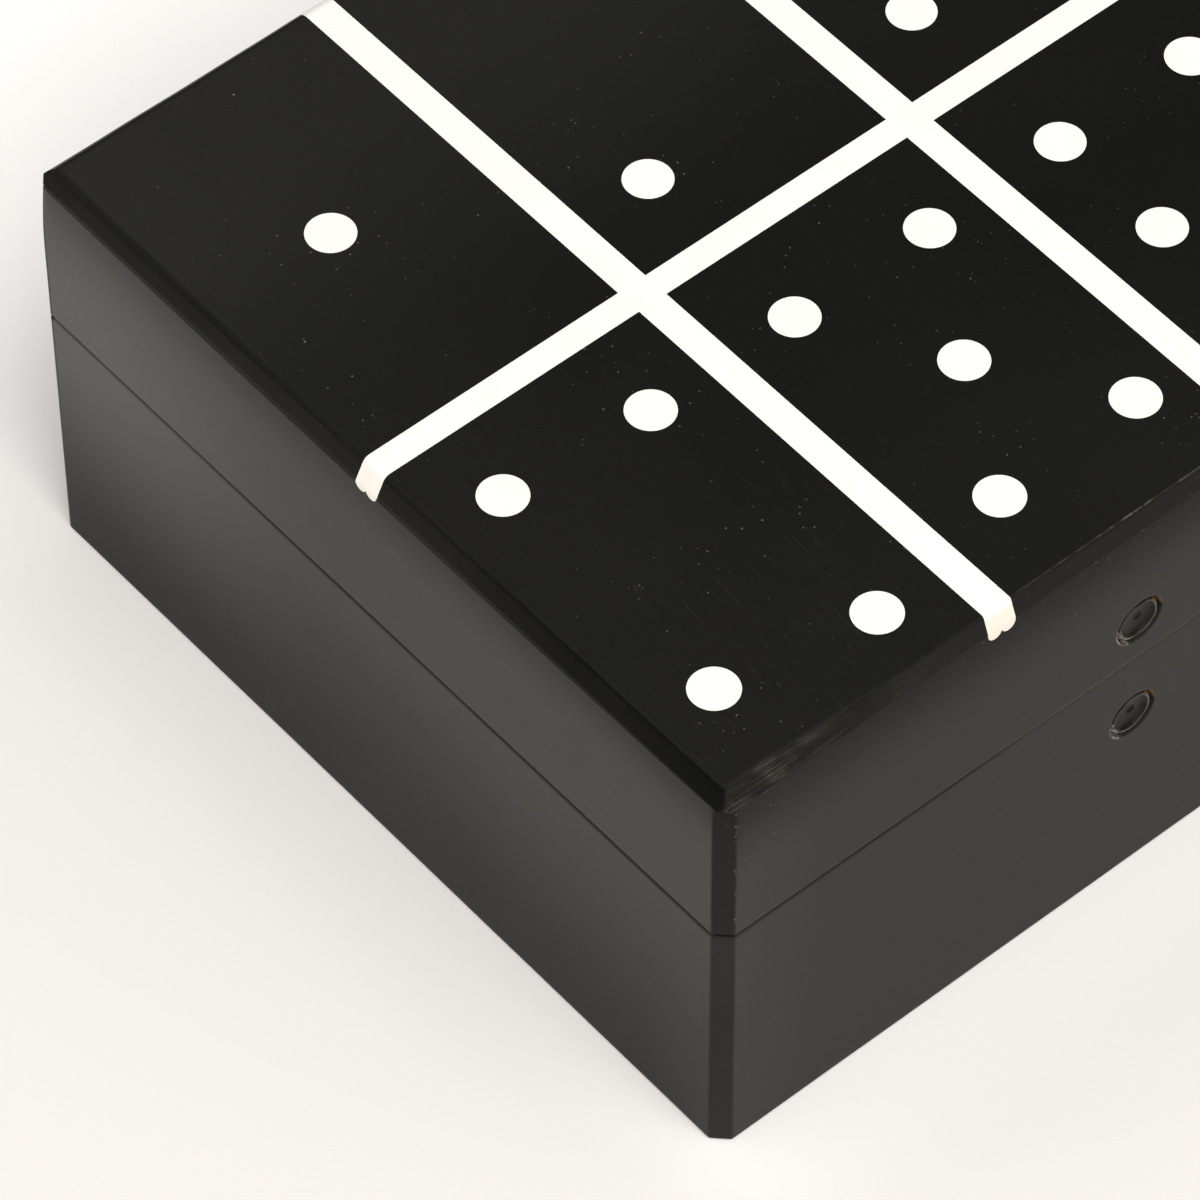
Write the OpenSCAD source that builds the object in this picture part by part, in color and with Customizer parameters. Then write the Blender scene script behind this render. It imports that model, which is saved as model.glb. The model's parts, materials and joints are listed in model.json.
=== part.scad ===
// Domino storage box: a square, black lacquered box with a hinged lid.
// The top is laid out as three domino tiles side by side (1-4, 2-5 and 3-6), with poured
// white strips between the black plates and poured white pips in them.
// The origin is the middle of the underside. +Z is up, -Y is the front, the hinges are at +Y.

/* [Box] */
// Outer width, left to right
box_w = 150; // [140:1:200]
// Outer depth, front to rear
box_d = 150; // [140:1:200]
// Height of the base, up to the middle of the seam
base_h = 48.5; // [40:0.5:80]
// Height of the lid, from the middle of the seam to the top
lid_h = 31.5; // [28:0.5:50]
// Thickness of the wall boards
wall_t = 9.5; // [9:0.5:12]
// Flat on each upright corner, measured along either face
corner_cut = 2.3; // [0.5:0.1:4]
// Gap between the two rims when the lid is shut
seam_gap = 0.3; // [0.2:0.05:0.6]

/* [Panels and linings] */
// Thickness of the floor panel
floor_t = 5; // [3:0.5:8]
// Thickness of the panel under the top plates
core_t = 6; // [4:0.5:8]
// How far both panels are let into the walls
rebate = 4; // [2:0.5:6]
// Thickness of the felt linings
felt_t = 1; // [0.5:0.1:2]
// Gap all round a felt lining
felt_gap = 0.3; // [0.1:0.1:1]

/* [Top plates] */
// Thickness of the black plates
plate_t = 3; // [2.6:0.1:4]
// How far the bevel round the top runs in
bevel_in = 1.9; // [0.5:0.1:3]
// Radius of the round between the top and the bevel
bevel_soft = 1.4; // [0.4:0.1:2]
// Flat on the plates' corners, which overhang the walls' corners a little
plate_corner_cut = 1.6; // [0.5:0.1:2.5]

/* [White inlay] */
// Distance between the two strips that run front to rear
tile_pitch = 50; // [42:1:60]
// Width of the two strips that run front to rear
tile_strip_w = 5; // [3:0.1:7]
// Width of the strip that runs across the middle
middle_strip_w = 4.5; // [3:0.1:7]
// Depth of the two grooves that run front to rear
tile_groove_depth = 4.7; // [4.1:0.1:6]
// Depth of the groove across the middle
middle_groove_depth = 4.6; // [4.1:0.1:6]
// Diameter of a pip
pip_d = 7.5; // [5:0.1:9]
// Depth of a pip
pip_depth = 2.5; // [1:0.1:2.5]
// Distance between the two columns of pips in the four, five and six
pip_columns = 25.2; // [18:0.1:28]
// Distance between the outer rows of pips
pip_rows = 42.4; // [30:0.1:50]
// Distance across between the outer pips of the two and the three
diagonal_columns = 21.2; // [12:0.1:28]

/* [Catch] */
// How far the catch sits to the right of the middle
catch_x = 1.5; // [-20:0.5:20]
// Height of the upper rivet above the seam
lid_rivet_up = 8.2; // [6:0.1:10]
// Depth of the lower rivet below the seam
base_rivet_down = 13; // [12:0.1:15]
// Width of the magnet holder and of the strike plate
catch_w = 16; // [12:0.5:24]
// How far the magnet holder stands off the wall
holder_depth = 9; // [8:0.5:12]
// Thickness of the holder's lug
holder_lug_t = 3; // [2:0.5:4]
// Diameter of the magnet
magnet_d = 6; // [4:0.5:7]
// Length of the magnet
magnet_l = 5; // [3:0.5:6]
// Thickness of the strike plate
strike_t = 1.2; // [0.8:0.1:2]
// Diameter of the sunk seat round a rivet head
seat_d = 8.4; // [8.2:0.1:10]
// Depth of that seat
seat_depth = 1.2; // [1:0.1:2]
// Diameter of a rivet's head
rivet_head_d = 7.8; // [7:0.1:8]
// Diameter of a rivet's shank
rivet_d = 4; // [3:0.1:4.4]

/* [Hinges] */
// Distance from the middle of each hinge to the box's side
hinge_inset = 30; // [20:1:40]
// Width of a hinge
hinge_w = 25; // [20:1:30]
// Thickness of a hinge leaf
leaf_t = 1.4; // [1.2:0.1:2]
// How far a leaf reaches into the wall
leaf_in = 8; // [7:0.1:8.5]
// Diameter of the knuckles
knuckle_d = 4.8; // [4.4:0.1:6]
// Diameter of the hinge pins
pin_d = 2; // [1.5:0.1:2.5]
// Angle at which the heels of the leaves meet and stop the lid
stop_angle = 101; // [90:1:120]
// Height of a heel above or below the pin
heel_h = 5.5; // [4:0.1:8]
// Distance between the two screws of a leaf
screw_pitch = 15; // [12:0.5:18]
// Diameter of a screw's shank
screw_d = 2.2; // [1.8:0.1:2.6]
// Diameter of a screw's head
screw_head_d = 4.2; // [3.6:0.1:5]
// Length of a screw
screw_l = 9; // [6:0.5:12]

/* [Hidden] */
$fn = 64;

total_h = base_h + lid_h;
base_rim = base_h - seam_gap / 2;
lid_rim = base_h + seam_gap / 2;
plate_z = total_h - plate_t;
core_z = plate_z - core_t;
inner_w = box_w - 2 * wall_t;
inner_d = box_d - 2 * wall_t;
front_y = -box_d / 2;
rear_y = box_d / 2;
front_inside_y = front_y + wall_t;
over = 1; // how far a cutting shape runs past what it cuts

// Tiles: number of pips, column, row, and how far the boring template was set off the tile's middle
tiles = [
    [1, -1, 1, [-0.6, -0.7]],
    [2, 0, 1, [0.1, -0.8]],
    [3, 1, 1, [-0.5, -1]],
    [4, -1, -1, [-0.2, -0.4]],
    [5, 0, -1, [0.9, -0.6]],
    [6, 1, -1, [0.7, -0.5]],
];

// Places of the pips on a tile, counted in half spacings
pip_places = [
    [[0, 0]],
    [[-1, -1], [1, 1]],
    [[-1, -1], [0, 0], [1, 1]],
    [[-1, 1], [1, 1], [-1, -1], [1, -1]],
    [[-1, 1], [1, 1], [0, 0], [-1, -1], [1, -1]],
    [[-1, 1], [1, 1], [-1, 0], [1, 0], [-1, -1], [1, -1]],
];

// Each cutter pass runs this far past the middle of its groove
lobe_overlap = 0.03;

// Facets of the round between the top and the bevel
bevel_steps = 6;

// Pips bored off their mark: tile, pip and shift
stray_pips = [
    [4, 1, [0, 1.6]],
    [4, 4, [0, -4.5]],
    [5, 5, [0.8, 0.8]],
];

// A rivet head has a rounded crest round a hollow dish, with a dimple in the middle
head_sink = 0.1;
crest_r = 0.25;
dish_depth = 0.6;
dimple_r = 0.6;
dimple_depth = 0.6;
clinch_r = 3.1;
clinch_t = 1;

// The magnet holder's heights below the rim, and the wall between its magnet and its face
holder_block_h = magnet_l + 1;
holder_rivet_h = base_rivet_down - seam_gap / 2;
holder_slope_h = holder_rivet_h - clinch_r - 0.4;
holder_h = holder_rivet_h + 5;
magnet_wall = 1.2;
magnet_y = front_inside_y + holder_depth - magnet_wall - magnet_d / 2;

// The strike plate is bent from one strip
strike_reach = holder_depth + 0.5;
strike_up = lid_rivet_up - seam_gap / 2 + clinch_r + 1.4;
bend_r = strike_t + 0.8;

// Hinge knuckles: the base leaf has the odd ones, the lid leaf the even ones
knuckles = 5;
knuckle_w = hinge_w / knuckles;
knuckle_r = knuckle_d / 2;
swing_gap = 0.15; // between a knuckle and what turns round it
side_gap = 0.1; // between neighbouring knuckles
pin_fit = 0.05; // radial clearance of the pin in the lid's knuckles
pin_out = 0.4; // how far a pin stands out of its knuckles
axis_out = knuckle_r + swing_gap;
axis_y = rear_y + axis_out;
hinge_x = box_w / 2 - hinge_inset;
screw_in = leaf_in / 2;
screw_slot = 0.7;
screw_tip = 2;

inlay_white = [0.98, 0.97, 0.93];
lacquer = [0.16, 0.16, 0.155];
plate_black = [0.13, 0.13, 0.125];
panel_brown = [0.5, 0.37, 0.24];
felt_green = [0.08, 0.2, 0.13];
brass = [0.76, 0.6, 0.32];
steel = [0.66, 0.67, 0.68];

side_names = ["left", "right"];
wall_names = ["front", "right", "rear", "left"];

// Middle of a tile: an outer column lies between its strip and the foot of the bevel
function tile_mid_x(col) = col * (box_w / 2 - bevel_in + tile_pitch / 2 + tile_strip_w / 2) / 2;
function tile_mid_y(row) = row * (box_d / 2 - bevel_in + middle_strip_w / 2) / 2;

function stray(tile, i) = [for (s = stray_pips) if (s[0] == tile[0] && s[1] == i) s[2]];

// The two and the three have their own spacing across
function pip_step(tile) =
    [(tile[0] < 4 ? diagonal_columns : pip_columns) / 2, pip_rows / 2];

function pip_xy(tile, i) =
    let (place = pip_places[tile[0] - 1][i - 1], step = pip_step(tile), extra = stray(tile, i))
    [tile_mid_x(tile[1]) + place[0] * step[0], tile_mid_y(tile[2]) + place[1] * step[1]]
    + tile[3] + (len(extra) > 0 ? extra[0] : [0, 0]);

// Plan of a board that lies along the front, mitred at both ends and cut back at the corners
function board_plan(length, half_span) = [
    [-length / 2 + corner_cut, -half_span],
    [length / 2 - corner_cut, -half_span],
    [length / 2 - corner_cut / 2, -half_span + corner_cut / 2],
    [length / 2 - wall_t, -half_span + wall_t],
    [-length / 2 + wall_t, -half_span + wall_t],
    [-length / 2 + corner_cut / 2, -half_span + corner_cut / 2],
];

// A wall board: turn 0 is the front, 1 the right, 2 the rear and 3 the left
module board(turn, low, high) {
    length = turn % 2 == 0 ? box_w : box_d;
    span = turn % 2 == 0 ? box_d : box_w;
    rotate([0, 0, 90 * turn])
        translate([0, 0, low])
            linear_extrude(high - low)
                polygon(board_plan(length, span / 2));
}

// A plate centred on the box, w wide and d deep
module centred_plate(w, d, low, high) {
    translate([-w / 2, -d / 2, low])
        cube([w, d, high - low]);
}

// Outline of the lid seen from one side: upright, then the bevel, then a round into the top
module lid_outline(span, low) {
    slope = atan2(plate_t, bevel_in);
    reach = bevel_soft * tan(slope / 2);
    round = [
        for (i = [0:bevel_steps])
            let (a = slope * (1 - i / bevel_steps))
            [span / 2 - bevel_in - reach + bevel_soft * sin(a), total_h - bevel_soft * (1 - cos(a))]
    ];
    half = concat([[span / 2, low], [span / 2, plate_z]], round);
    polygon(concat(half, [for (i = [len(half) - 1:-1:0]) [-half[i][0], half[i][1]]]));
}

// An outline carried right through the box, square to the direction in which it is seen
module swept(turn, length) {
    rotate([90, 0, turn])
        linear_extrude(length, center = true)
            children();
}

// Plan of the top plates: a rectangle with its corners cut back
module plate_plan() {
    w = box_w / 2;
    d = box_d / 2;
    c = plate_corner_cut;
    polygon([[w, c - d], [w, d - c], [w - c, d], [c - w, d], [-w, d - c], [-w, c - d], [c - w, -d], [w - c, -d]]);
}

// The lid's outer form above a height: bevelled on all four sides, with flats on its corners
module lid_form(low) {
    intersection() {
        swept(0, box_d)
            lid_outline(box_w, low);
        swept(90, box_w)
            lid_outline(box_d, low);
        translate([0, 0, low])
            linear_extrude(total_h - low)
                plate_plan();
    }
}

// Section of a strip groove: two passes of a round cutter leave two lobes at the bottom
module groove_section(w, depth) {
    lobe_r = w / 4 + lobe_overlap;
    lobe_z = total_h - depth + lobe_r;
    translate([-w / 2, lobe_z])
        square([w, depth - lobe_r + over]);
    for (s = [-1, 1])
        translate([s * (w / 2 - lobe_r), lobe_z])
            circle(lobe_r);
}

module grooves() {
    for (s = [-1, 1])
        translate([s * tile_pitch / 2, 0, 0])
            rotate([90, 0, 0])
                linear_extrude(box_d + 2 * over, center = true)
                    groove_section(tile_strip_w, tile_groove_depth);
    rotate([90, 0, 90])
        linear_extrude(box_w + 2 * over, center = true)
            groove_section(middle_strip_w, middle_groove_depth);
}

module inlay_grid() {
    color(inlay_white)
        intersection() {
            grooves();
            lid_form(total_h - tile_groove_depth - middle_groove_depth);
        }
}

module pip_plug(tile, i, rise = 0) {
    translate([pip_xy(tile, i)[0], pip_xy(tile, i)[1], total_h - pip_depth])
        cylinder(d = pip_d, h = pip_depth + rise);
}

module pip(tile, i) {
    color(inlay_white)
        pip_plug(tile, i);
}

// The part of the top that one tile half covers, out to the rim on its free sides
module tile_block(tile) {
    outer_w = box_w / 2 + over;
    outer_d = box_d / 2 + over;
    x0 = tile[1] < 0 ? -outer_w : (tile[1] - 0.5) * tile_pitch;
    x1 = tile[1] > 0 ? outer_w : (tile[1] + 0.5) * tile_pitch;
    y0 = tile[2] < 0 ? -outer_d : 0;
    translate([x0, y0, plate_z - over])
        cube([x1 - x0, outer_d, plate_t + 2 * over]);
}

module top_plate(tile) {
    color(plate_black)
        difference() {
            intersection() {
                lid_form(plate_z);
                tile_block(tile);
            }
            grooves();
            for (i = [1:tile[0]])
                pip_plug(tile, i, over);
        }
}

module floor_body(grow = 0) {
    centred_plate(inner_w + 2 * rebate, inner_d + 2 * rebate, -grow, floor_t);
}

module base_floor() {
    color(panel_brown)
        floor_body();
}

module base_lining() {
    color(felt_green)
        centred_plate(inner_w - 2 * felt_gap, inner_d - 2 * felt_gap, floor_t, floor_t + felt_t);
}

module core_body(grow = 0) {
    centred_plate(inner_w + 2 * rebate, inner_d + 2 * rebate, core_z, plate_z + grow);
}

module lid_core() {
    color(panel_brown)
        difference() {
            core_body();
            grooves();
        }
}

module lid_lining() {
    color(felt_green)
        centred_plate(inner_w - 2 * felt_gap, inner_d - 2 * felt_gap, core_z - felt_t, core_z);
}

// Moves what is drawn round the Z axis onto a rivet's axis, with Z = 0 on the box's front
module at_rivet(z) {
    translate([catch_x, front_y, z])
        rotate([90, 0, 0])
            children();
}

// The seat and the bore that a rivet needs in the front wall
module rivet_cut(z) {
    at_rivet(z) {
        translate([0, 0, -seat_depth])
            cylinder(d = seat_d, h = seat_depth + over);
        translate([0, 0, -2 * wall_t])
            cylinder(d = rivet_d, h = 2 * wall_t);
    }
}

// Half section of a rivet that grips the wall and a plate of the given thickness
module rivet_section(grip) {
    head_r = rivet_head_d / 2;
    dish_half = head_r - crest_r;
    dish_r = (dish_half * dish_half + dish_depth * dish_depth) / (2 * dish_depth);
    dish = -head_sink - dish_depth;
    foot = -wall_t - grip;
    difference() {
        union() {
            translate([0, -seat_depth])
                square([head_r, seat_depth - head_sink - crest_r]);
            translate([0, -seat_depth])
                square([dish_half, seat_depth - head_sink]);
            translate([dish_half, -head_sink - crest_r])
                circle(crest_r);
            translate([0, foot])
                square([rivet_d / 2, dish - foot]);
            translate([0, foot - clinch_t])
                square([clinch_r, clinch_t]);
        }
        translate([0, dish + dish_r])
            circle(dish_r, $fn = 4 * $fn);
        translate([-over, dish - dimple_depth])
            square([over + dimple_r, dimple_depth + over]);
    }
}

module rivet(z, grip) {
    color(brass)
        at_rivet(z)
            rotate_extrude()
                rivet_section(grip);
}

module base_catch_rivet() {
    rivet(base_h - base_rivet_down, holder_lug_t);
}

module lid_catch_rivet() {
    rivet(base_h + lid_rivet_up, strike_t);
}

// Side view of the magnet holder, with the wall at the left and the rim at the top
module holder_side() {
    polygon([
        [0, 0],
        [holder_depth, 0],
        [holder_depth, -holder_block_h],
        [holder_lug_t, -holder_slope_h],
        [holder_lug_t, -holder_h],
        [0, -holder_h],
    ]);
}

module magnet_body(rise = 0) {
    translate([catch_x, magnet_y, base_rim - magnet_l])
        cylinder(d = magnet_d, h = magnet_l + rise);
}

module catch_holder() {
    color("dimgray")
        difference() {
            translate([catch_x, front_inside_y, base_rim])
                rotate([90, 0, 90])
                    linear_extrude(catch_w, center = true)
                        holder_side();
            magnet_body(over);
            at_rivet(base_h - base_rivet_down)
                translate([0, 0, -2 * wall_t])
                    cylinder(d = rivet_d, h = 2 * wall_t);
        }
}

module catch_magnet() {
    color(steel)
        magnet_body();
}

// Side view of the strike plate: a strip bent at a right angle
module strike_side() {
    translate([bend_r, 0])
        square([strike_reach - bend_r, strike_t]);
    translate([0, bend_r])
        square([strike_t, strike_up - bend_r]);
    intersection() {
        square(bend_r);
        difference() {
            translate([bend_r, bend_r])
                circle(bend_r);
            translate([bend_r, bend_r])
                circle(bend_r - strike_t);
        }
    }
}

module strike_plate() {
    color(steel)
        difference() {
            translate([catch_x, front_inside_y, lid_rim])
                rotate([90, 0, 90])
                    linear_extrude(catch_w, center = true)
                        strike_side();
            at_rivet(base_h + lid_rivet_up)
                translate([0, 0, -2 * wall_t])
                    cylinder(d = rivet_d, h = 2 * wall_t);
        }
}

// Moves what is drawn round a hinge's own axis to its place: side -1 is the left hinge
module at_hinge(side) {
    translate([side * hinge_x, axis_y, base_h])
        children();
}

// Turns what is drawn for the lid's leaf over for the base's leaf
module leaf_way(up) {
    mirror([0, 0, up > 0 ? 0 : 1])
        children();
}

module along_x(d, length) {
    rotate([0, 90, 0])
        cylinder(d = d, h = length, center = true);
}

function knuckle_x(k) = (k - (knuckles - 1) / 2) * knuckle_w;

// Every second knuckle, from the first or from the second
module knuckle_row(first, d, w) {
    for (k = [first:2:knuckles - 1])
        translate([knuckle_x(k), 0, 0])
            along_x(d, w);
}

// The leaf's plate, for the lid, from the inner edge of the mortise to the pin
module leaf_plate() {
    translate([-hinge_w / 2, -axis_out - leaf_in, seam_gap / 2])
        cube([hinge_w, axis_out + leaf_in, leaf_t]);
}

// The heel's sloping side meets the other leaf's when the lid stands open
module heel() {
    slope = 1 / tan(stop_angle / 2);
    rotate([90, 0, 90])
        linear_extrude(hinge_w, center = true)
            polygon([
                [-axis_out, seam_gap / 2],
                [-axis_out, heel_h],
                [heel_h * slope, heel_h],
                [seam_gap / 2 * slope, seam_gap / 2],
            ]);
}

// A countersunk screw that points up, with its head flush with the lid's rim
module screw_form(length) {
    translate([0, 0, seam_gap / 2])
        cylinder(d1 = screw_head_d, d2 = screw_d, h = (screw_head_d - screw_d) / 2);
    translate([0, 0, seam_gap / 2])
        cylinder(d = screw_d, h = length - screw_tip);
    translate([0, 0, seam_gap / 2 + length - screw_tip])
        cylinder(d1 = screw_d, d2 = screw_d / 4, h = screw_tip);
}

module at_screws() {
    for (s = [-1, 1])
        translate([s * screw_pitch / 2, -axis_out - screw_in, 0])
            children();
}

module hinge_leaf(side, up) {
    first = up > 0 ? 1 : 0;
    color(brass)
        at_hinge(side)
            leaf_way(up)
                difference() {
                    union() {
                        leaf_plate();
                        heel();
                        knuckle_row(first, knuckle_d, knuckle_w - side_gap);
                    }
                    knuckle_row(1 - first, knuckle_d + 2 * swing_gap, knuckle_w + side_gap);
                    along_x(pin_d + (up > 0 ? 2 * pin_fit : 0), hinge_w + 2 * over);
                    at_screws()
                        screw_form(screw_l);
                }
}

module hinge_pin(side) {
    color(brass)
        at_hinge(side)
            along_x(pin_d, hinge_w + 2 * pin_out);
}

module hinge_screws(up) {
    color(brass)
        for (side = [-1, 1])
            at_hinge(side)
                leaf_way(up)
                    at_screws()
                        difference() {
                            screw_form(screw_l);
                            translate([-screw_head_d, -screw_slot / 2, 0])
                                cube([2 * screw_head_d, screw_slot, seam_gap / 2 + screw_slot]);
                        }
}

// What both hinges take out of a rear wall: the mortises and the screw holes
module hinge_cut(up) {
    for (side = [-1, 1])
        at_hinge(side)
            leaf_way(up) {
                translate([-hinge_w / 2, -axis_out - leaf_in, -over])
                    cube([hinge_w, leaf_in + over, over + seam_gap / 2 + leaf_t]);
                at_screws()
                    screw_form(screw_l);
            }
}

module base_wall(turn) {
    color(lacquer)
        difference() {
            board(turn, 0, base_rim);
            floor_body(over);
            if (turn == 0)
                rivet_cut(base_h - base_rivet_down);
            if (turn == 2)
                hinge_cut(-1);
        }
}

module lid_wall(turn) {
    color(lacquer)
        difference() {
            board(turn, lid_rim, plate_z);
            core_body(over);
            grooves();
            if (turn == 0)
                rivet_cut(base_h + lid_rivet_up);
            if (turn == 2)
                hinge_cut(1);
        }
}

for (turn = [0:3])
    base_wall(turn);
base_floor();
base_lining();
catch_holder();
catch_magnet();
base_catch_rivet();
for (turn = [0:3])
    lid_wall(turn);
lid_core();
lid_lining();
strike_plate();
lid_catch_rivet();
for (s = [0, 1])
    hinge_leaf(2 * s - 1, -1);
for (s = [0, 1])
    hinge_leaf(2 * s - 1, 1);
for (s = [0, 1])
    hinge_pin(2 * s - 1);
hinge_screws(-1);  // hinge_screws_base
hinge_screws(1);  // hinge_screws_lid
inlay_grid();
for (t = tiles)
    top_plate(t);
for (t = tiles)
    for (i = [1:t[0]])
        pip(t, i);
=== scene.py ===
import json
import math

import bpy
import numpy as np
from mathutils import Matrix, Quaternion, Vector

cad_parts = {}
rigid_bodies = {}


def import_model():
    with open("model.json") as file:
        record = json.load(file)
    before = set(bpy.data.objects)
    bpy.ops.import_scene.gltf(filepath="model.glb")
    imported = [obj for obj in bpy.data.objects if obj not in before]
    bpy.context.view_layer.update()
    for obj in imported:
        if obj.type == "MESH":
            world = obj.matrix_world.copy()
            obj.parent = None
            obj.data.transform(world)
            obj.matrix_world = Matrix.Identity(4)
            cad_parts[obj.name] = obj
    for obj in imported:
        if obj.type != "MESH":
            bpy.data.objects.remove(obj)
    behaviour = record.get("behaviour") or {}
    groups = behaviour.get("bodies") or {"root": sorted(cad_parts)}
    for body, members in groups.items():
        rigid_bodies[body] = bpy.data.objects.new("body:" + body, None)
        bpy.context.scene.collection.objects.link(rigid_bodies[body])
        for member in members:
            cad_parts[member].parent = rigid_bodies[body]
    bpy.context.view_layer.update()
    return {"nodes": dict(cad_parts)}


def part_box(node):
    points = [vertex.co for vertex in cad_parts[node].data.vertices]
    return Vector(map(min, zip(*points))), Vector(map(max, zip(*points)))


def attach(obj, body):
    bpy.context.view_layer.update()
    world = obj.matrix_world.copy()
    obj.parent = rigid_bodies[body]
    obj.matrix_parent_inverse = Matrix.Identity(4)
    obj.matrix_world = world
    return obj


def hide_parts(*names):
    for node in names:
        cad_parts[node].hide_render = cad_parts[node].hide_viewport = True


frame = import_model()
nodes = frame["nodes"]
print("frame loaded,", len(nodes), "nodes")

mm = 0.001  # the sizes below are in millimetres
cutCorners = 64  # corners of a round cutting shape

box = {
    "half": 75.0,  # half the width and half the depth
    "wall": 9.5,
    "cornerCut": 2.3,
    "baseRim": 48.35,
    "lidRim": 48.65,
    "plateBottom": 77.0,
    "top": 80.0,
    "rebate": 4.0,
    "floorTop": 5.0,
    "coreBottom": 71.0,
    "feltThick": 1.0,
    "feltHalf": 65.2,
}

view = {
    "position": (-0.48314, -0.53573, 0.89655),
    "aim": (-0.04437, -0.0134, 0.04),
    "rollDegrees": 0.4397,
    "lens": 231.943,
    "sensor": 36.0,
}


def makeCamera():
    data = bpy.data.cameras.new("boxCamera")
    data.lens = view["lens"]
    data.sensor_width = view["sensor"]
    data.clip_end = 10.0
    camera = bpy.data.objects.new("boxCamera", data)
    bpy.context.scene.collection.objects.link(camera)
    look = Vector(view["aim"]) - Vector(view["position"])
    turn = look.to_track_quat("-Z", "Y") @ Quaternion((0, 0, 1), -math.radians(view["rollDegrees"]))
    camera.rotation_mode = "QUATERNION"
    camera.rotation_quaternion = turn
    camera.location = view["position"]
    bpy.context.scene.camera = camera


makeCamera()

light = {
    "softboxColor": (1.0, 0.99, 0.975),
    "softboxWatts": 50.0,
    "softboxSize": (2.0, 1.7),
    "softboxAt": (-0.50, -1.30, 2.10),
    "brightSide": (-0.8, -0.6, 0.0),
    "skyDim": 0.30,  # away from that side
    "skyBright": 0.95,  # and towards it
    "horizon": 0.12,  # share of that light at the horizon
}


def fillInputs(tree, inputs, values):
    # Each input set to a value or linked to a socket
    for key, value in values.items():
        if isinstance(value, bpy.types.NodeSocket):
            tree.links.new(value, inputs[key])
        else:
            inputs[key].default_value = value


def addNode(tree, kind, values=None, **settings):
    made = tree.nodes.new("ShaderNode" + kind)
    for key, value in settings.items():
        setattr(made, key, value)
    fillInputs(tree, made.inputs, values or {})
    return made


def newMaterial(name):
    # A material with its tree, its shader and the place on the object that its patterns follow
    material = bpy.data.materials.new(name)
    material.use_nodes = True
    tree = material.node_tree
    place = addNode(tree, "TexCoord").outputs["Object"]
    return material, tree, tree.nodes["Principled BSDF"], place


def newGroup(name, inputs, outputs):
    # An empty shader group that takes a place and some numbers, and the nodes at its two ends
    tree = bpy.data.node_groups.new(name, "ShaderNodeTree")
    tree.interface.new_socket(name="Vector", in_out="INPUT", socket_type="NodeSocketVector")
    for label in inputs:
        tree.interface.new_socket(name=label, in_out="INPUT", socket_type="NodeSocketFloat")
    for label in outputs:
        tree.interface.new_socket(name=label, in_out="OUTPUT", socket_type="NodeSocketFloat")
    return tree, tree.nodes.new("NodeGroupInput").outputs, tree.nodes.new("NodeGroupOutput").inputs


def useGroup(tree, group, values):
    return addNode(tree, "Group", values, node_tree=group).outputs


def calc(tree, how, first, second=0.0, third=0.0, clamp=False):
    values = {0: first, 1: second, 2: third}
    return addNode(tree, "Math", values, operation=how, use_clamp=clamp).outputs[0]


def times(tree, first, *others):
    for other in others:
        first = calc(tree, "MULTIPLY", first, other)
    return first


def plus(tree, first, *others):
    for other in others:
        first = calc(tree, "ADD", first, other)
    return first


def minus(tree, first, second):
    return calc(tree, "SUBTRACT", first, second)


def most(tree, first, second):
    return calc(tree, "MAXIMUM", first, second)


def distance(tree, first, second):
    return calc(tree, "ABSOLUTE", minus(tree, first, second))


def ramp(tree, value, low, high, toLow=0.0, toHigh=1.0):
    # A smooth step between two values
    return addNode(tree, "MapRange", {
        "Value": value, "From Min": low, "From Max": high, "To Min": toLow, "To Max": toHigh},
        interpolation_type="SMOOTHSTEP").outputs[0]


def noise(tree, place, scale, detail, rough=0.5):
    return addNode(tree, "TexNoise", {
        "Vector": place, "Scale": scale, "Detail": detail, "Roughness": rough}).outputs["Fac"]


def stretch(tree, place, factors):
    # A place stretched along each axis, so that a pattern on it runs in one direction
    return addNode(tree, "VectorMath", {0: place, 1: factors}, operation="MULTIPLY").outputs[0]


def axes(tree, place):
    return addNode(tree, "SeparateXYZ", {0: place}).outputs


def mixColor(tree, share, first, second):
    first, second = [(*color, 1) if isinstance(color, tuple) else color for color in (first, second)]
    return addNode(tree, "Mix", {0: share, 6: first, 7: second}, data_type="RGBA").outputs[2]


def mixValue(tree, share, first, second):
    return addNode(tree, "Mix", {0: share, 2: first, 3: second}, data_type="FLOAT").outputs[0]


def paint(tree, shader, color, rough, height, strength, depth, others=()):
    # The surface of a material: its colour, roughness and bumps, and its other inputs by name
    bump = addNode(tree, "Bump", {"Height": height, "Strength": strength, "Distance": depth})
    inputs = {"Base Color": color, "Roughness": rough, "Normal": bump.outputs[0]}
    fillInputs(tree, shader.inputs, {**inputs, **dict(others)})


def makeLight():
    lamp = bpy.data.lights.new("softbox", "AREA")
    lamp.shape = "RECTANGLE"
    lamp.size, lamp.size_y = light["softboxSize"]
    lamp.energy = light["softboxWatts"]
    lamp.color = light["softboxColor"]
    piece = bpy.data.objects.new("softbox", lamp)
    bpy.context.scene.collection.objects.link(piece)
    piece.location = light["softboxAt"]
    piece.rotation_euler = (-Vector(light["softboxAt"])).to_track_quat("-Z", "Y").to_euler()
    world = bpy.data.worlds.new("softSky")
    bpy.context.scene.world = world
    world.use_nodes = True
    tree = world.node_tree
    tree.nodes.clear()
    place = addNode(tree, "TexCoord").outputs["Generated"]
    towards = {0: place, 1: light["brightSide"]}
    across = addNode(tree, "VectorMath", towards, operation="DOT_PRODUCT").outputs["Value"]
    sky = ramp(tree, across, -0.66, 0.2, light["skyDim"], light["skyBright"])
    low = ramp(tree, axes(tree, place)["Z"], 0.03, 0.40, light["horizon"], 1.0)
    glow = addNode(tree, "Background", {"Strength": times(tree, sky, low)})
    addNode(tree, "OutputWorld", {"Surface": glow.outputs[0]})


makeLight()
bpy.context.scene.view_settings.view_transform = "Standard"
print("camera and light set")

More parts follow.
